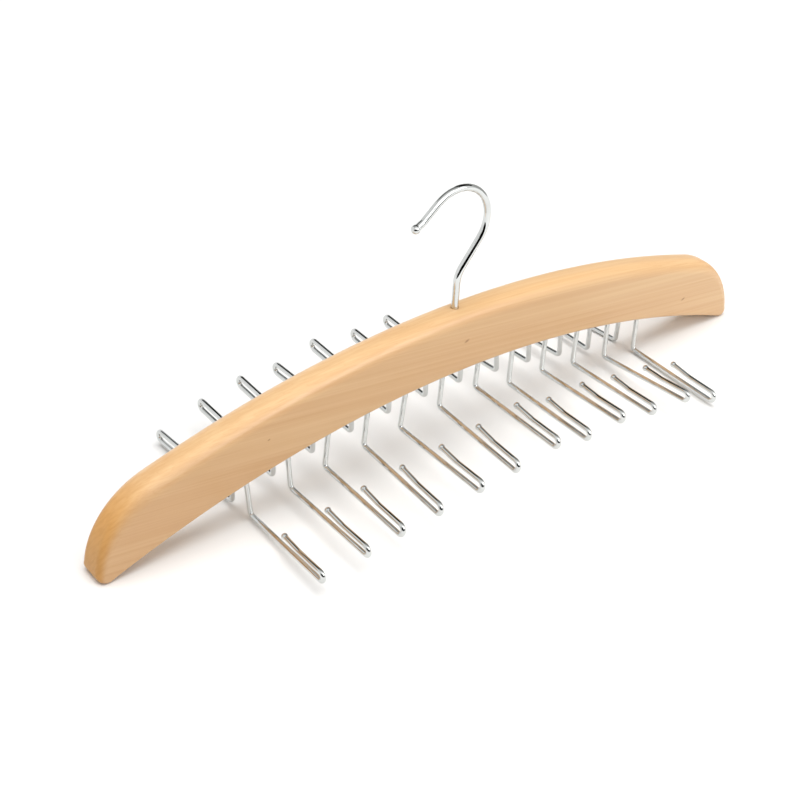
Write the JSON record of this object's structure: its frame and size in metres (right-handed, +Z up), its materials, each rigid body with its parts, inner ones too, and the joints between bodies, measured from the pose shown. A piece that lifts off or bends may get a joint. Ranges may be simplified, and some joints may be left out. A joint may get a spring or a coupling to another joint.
{
  "type": "tie hanger",
  "caption": "Arched wooden hanger bar with a swivelling chrome rail hook and two rows of ball-tipped wire hooks below for hanging ties.",
  "frame": {"origin": "on the surface that the bar's feet stand on, below the middle of the bar", "axes": "+X along the bar, away from the crook's open side; -Y to the front; +Z up along the hook's shank"},
  "size_m": [0.428, 0.1456, 0.1442],
  "materials": {
    "bar_wood": "clear satin lacquer",
    "swivel_chrome": "bright chrome plate",
    "tie_chrome": "bright chrome plate",
    "washer_steel": "zinc plate"
  },
  "bodies": {
    "bar": {"wooden_bar": "bar_wood", "hook_washer": "washer_steel", "tie_hook_front_01": "tie_chrome", "tie_hook_front_02": "tie_chrome", "tie_hook_front_03": "tie_chrome", "tie_hook_front_04": "tie_chrome", "tie_hook_front_05": "tie_chrome", "tie_hook_front_06": "tie_chrome", "tie_hook_front_07": "tie_chrome", "tie_hook_front_08": "tie_chrome", "tie_hook_front_09": "tie_chrome", "tie_hook_front_10": "tie_chrome", "tie_hook_front_11": "tie_chrome", "tie_hook_front_12": "tie_chrome", "tie_hook_rear_01": "tie_chrome", "tie_hook_rear_02": "tie_chrome", "tie_hook_rear_03": "tie_chrome", "tie_hook_rear_04": "tie_chrome", "tie_hook_rear_05": "tie_chrome", "tie_hook_rear_06": "tie_chrome", "tie_hook_rear_07": "tie_chrome", "tie_hook_rear_08": "tie_chrome", "tie_hook_rear_09": "tie_chrome", "tie_hook_rear_10": "tie_chrome", "tie_hook_rear_11": "tie_chrome", "tie_hook_rear_12": "tie_chrome"},
    "hook": {"swivel_hook": "swivel_chrome"}
  },
  "joints": [
    {"name": "hook_swivel", "type": "hinge", "parent": "bar", "child": "hook", "pos_m": [0, 0, 0.07399], "axis": [0, 0, 1], "continuous": true}
  ]
}
